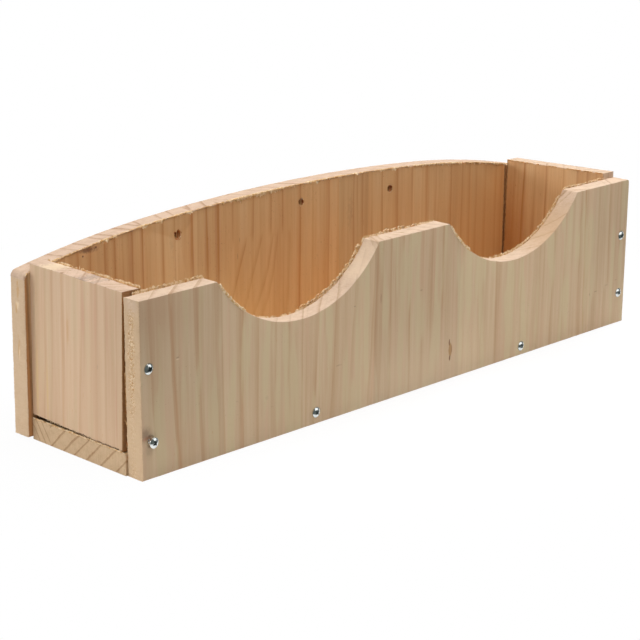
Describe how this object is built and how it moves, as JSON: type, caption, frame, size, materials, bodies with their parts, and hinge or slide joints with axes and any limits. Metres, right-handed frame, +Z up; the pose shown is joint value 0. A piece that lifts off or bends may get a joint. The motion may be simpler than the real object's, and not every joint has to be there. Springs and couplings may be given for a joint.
{
  "type": "hay feeder trough",
  "caption": "Long open wooden trough with an arched back board, holes to hang it by, and round scoops in its front board for feeding.",
  "frame": {"origin": "middle of the underside, midway between the front and back boards' outer faces and midway along the front board", "axes": "+X along the trough towards the right end as seen from the front, +Y from the front board to the back board, +Z up"},
  "size_m": [0.5104, 0.1292, 0.1336],
  "materials": {
    "pine": "untreated, planed faces and rough-sawn edges",
    "zinc_screw": "bright zinc plate"
  },
  "bodies": {
    "root": {"front_board": "pine", "back_board": "pine", "bottom_board": "pine", "left_end_panel": "pine", "right_end_panel": "pine", "front_end_screws": "zinc_screw", "front_bottom_screws": "zinc_screw", "rear_end_screws": "zinc_screw", "rear_bottom_screws": "zinc_screw"}
  },
  "joints": []
}
